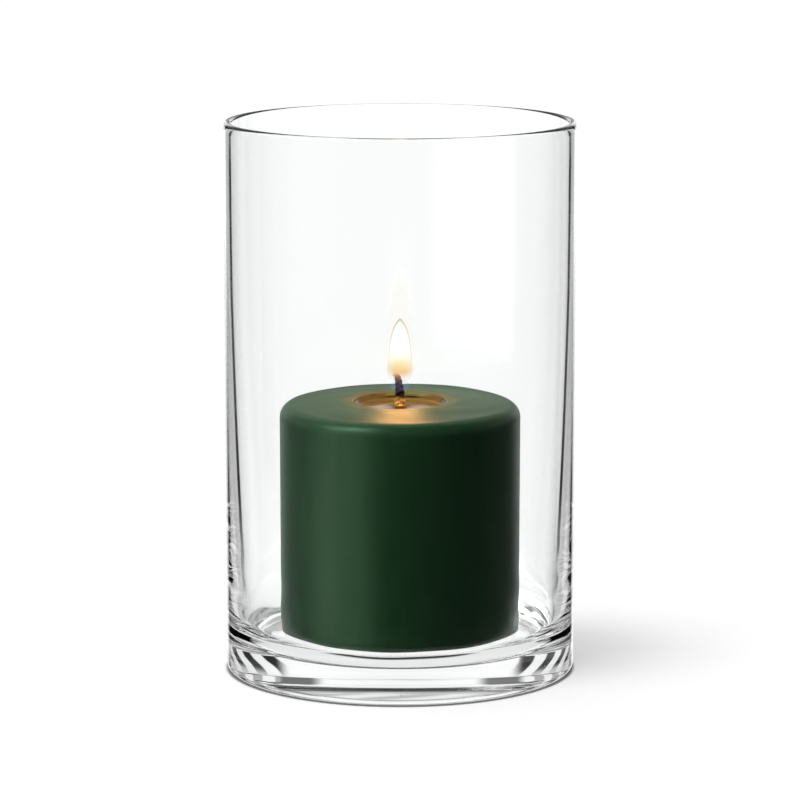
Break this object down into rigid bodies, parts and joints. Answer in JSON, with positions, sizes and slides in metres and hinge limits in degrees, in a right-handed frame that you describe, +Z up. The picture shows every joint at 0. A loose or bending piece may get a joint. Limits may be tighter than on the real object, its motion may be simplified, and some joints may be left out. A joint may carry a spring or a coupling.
{
  "type": "hurricane candle lantern",
  "caption": "Heavy-based clear glass hurricane cylinder with a lit dark green pillar candle standing loose on its floor; the candle lifts straight out.",
  "frame": {"origin": "centre of the glass's foot, on the surface the lantern stands on", "axes": "+Z up along the axis of the glass and the candle; the wick's charred tip leans towards -X"},
  "size_m": [0.112, 0.112, 0.177],
  "materials": {
    "clear_glass": "clear polished soda-lime glass, fire-polished rim",
    "green_wax": "smooth satin wax, slightly translucent",
    "molten_wax": "clear amber liquid, mirror gloss",
    "wick_cotton": "braided cotton, charred at the tip, waxed at the foot",
    "tinplate": "stamped tinplate, satin"
  },
  "bodies": {
    "glass": {"hurricane_glass": "clear_glass"},
    "candle": {"candle_body": "green_wax", "melt_pool": "molten_wax", "wick": "wick_cotton", "wick_sustainer": "tinplate"}
  },
  "joints": [
    {"name": "candle_lift", "type": "slide", "parent": "glass", "child": "candle", "axis": [0, 0, 1], "range_m": [0, 0.18]}
  ]
}
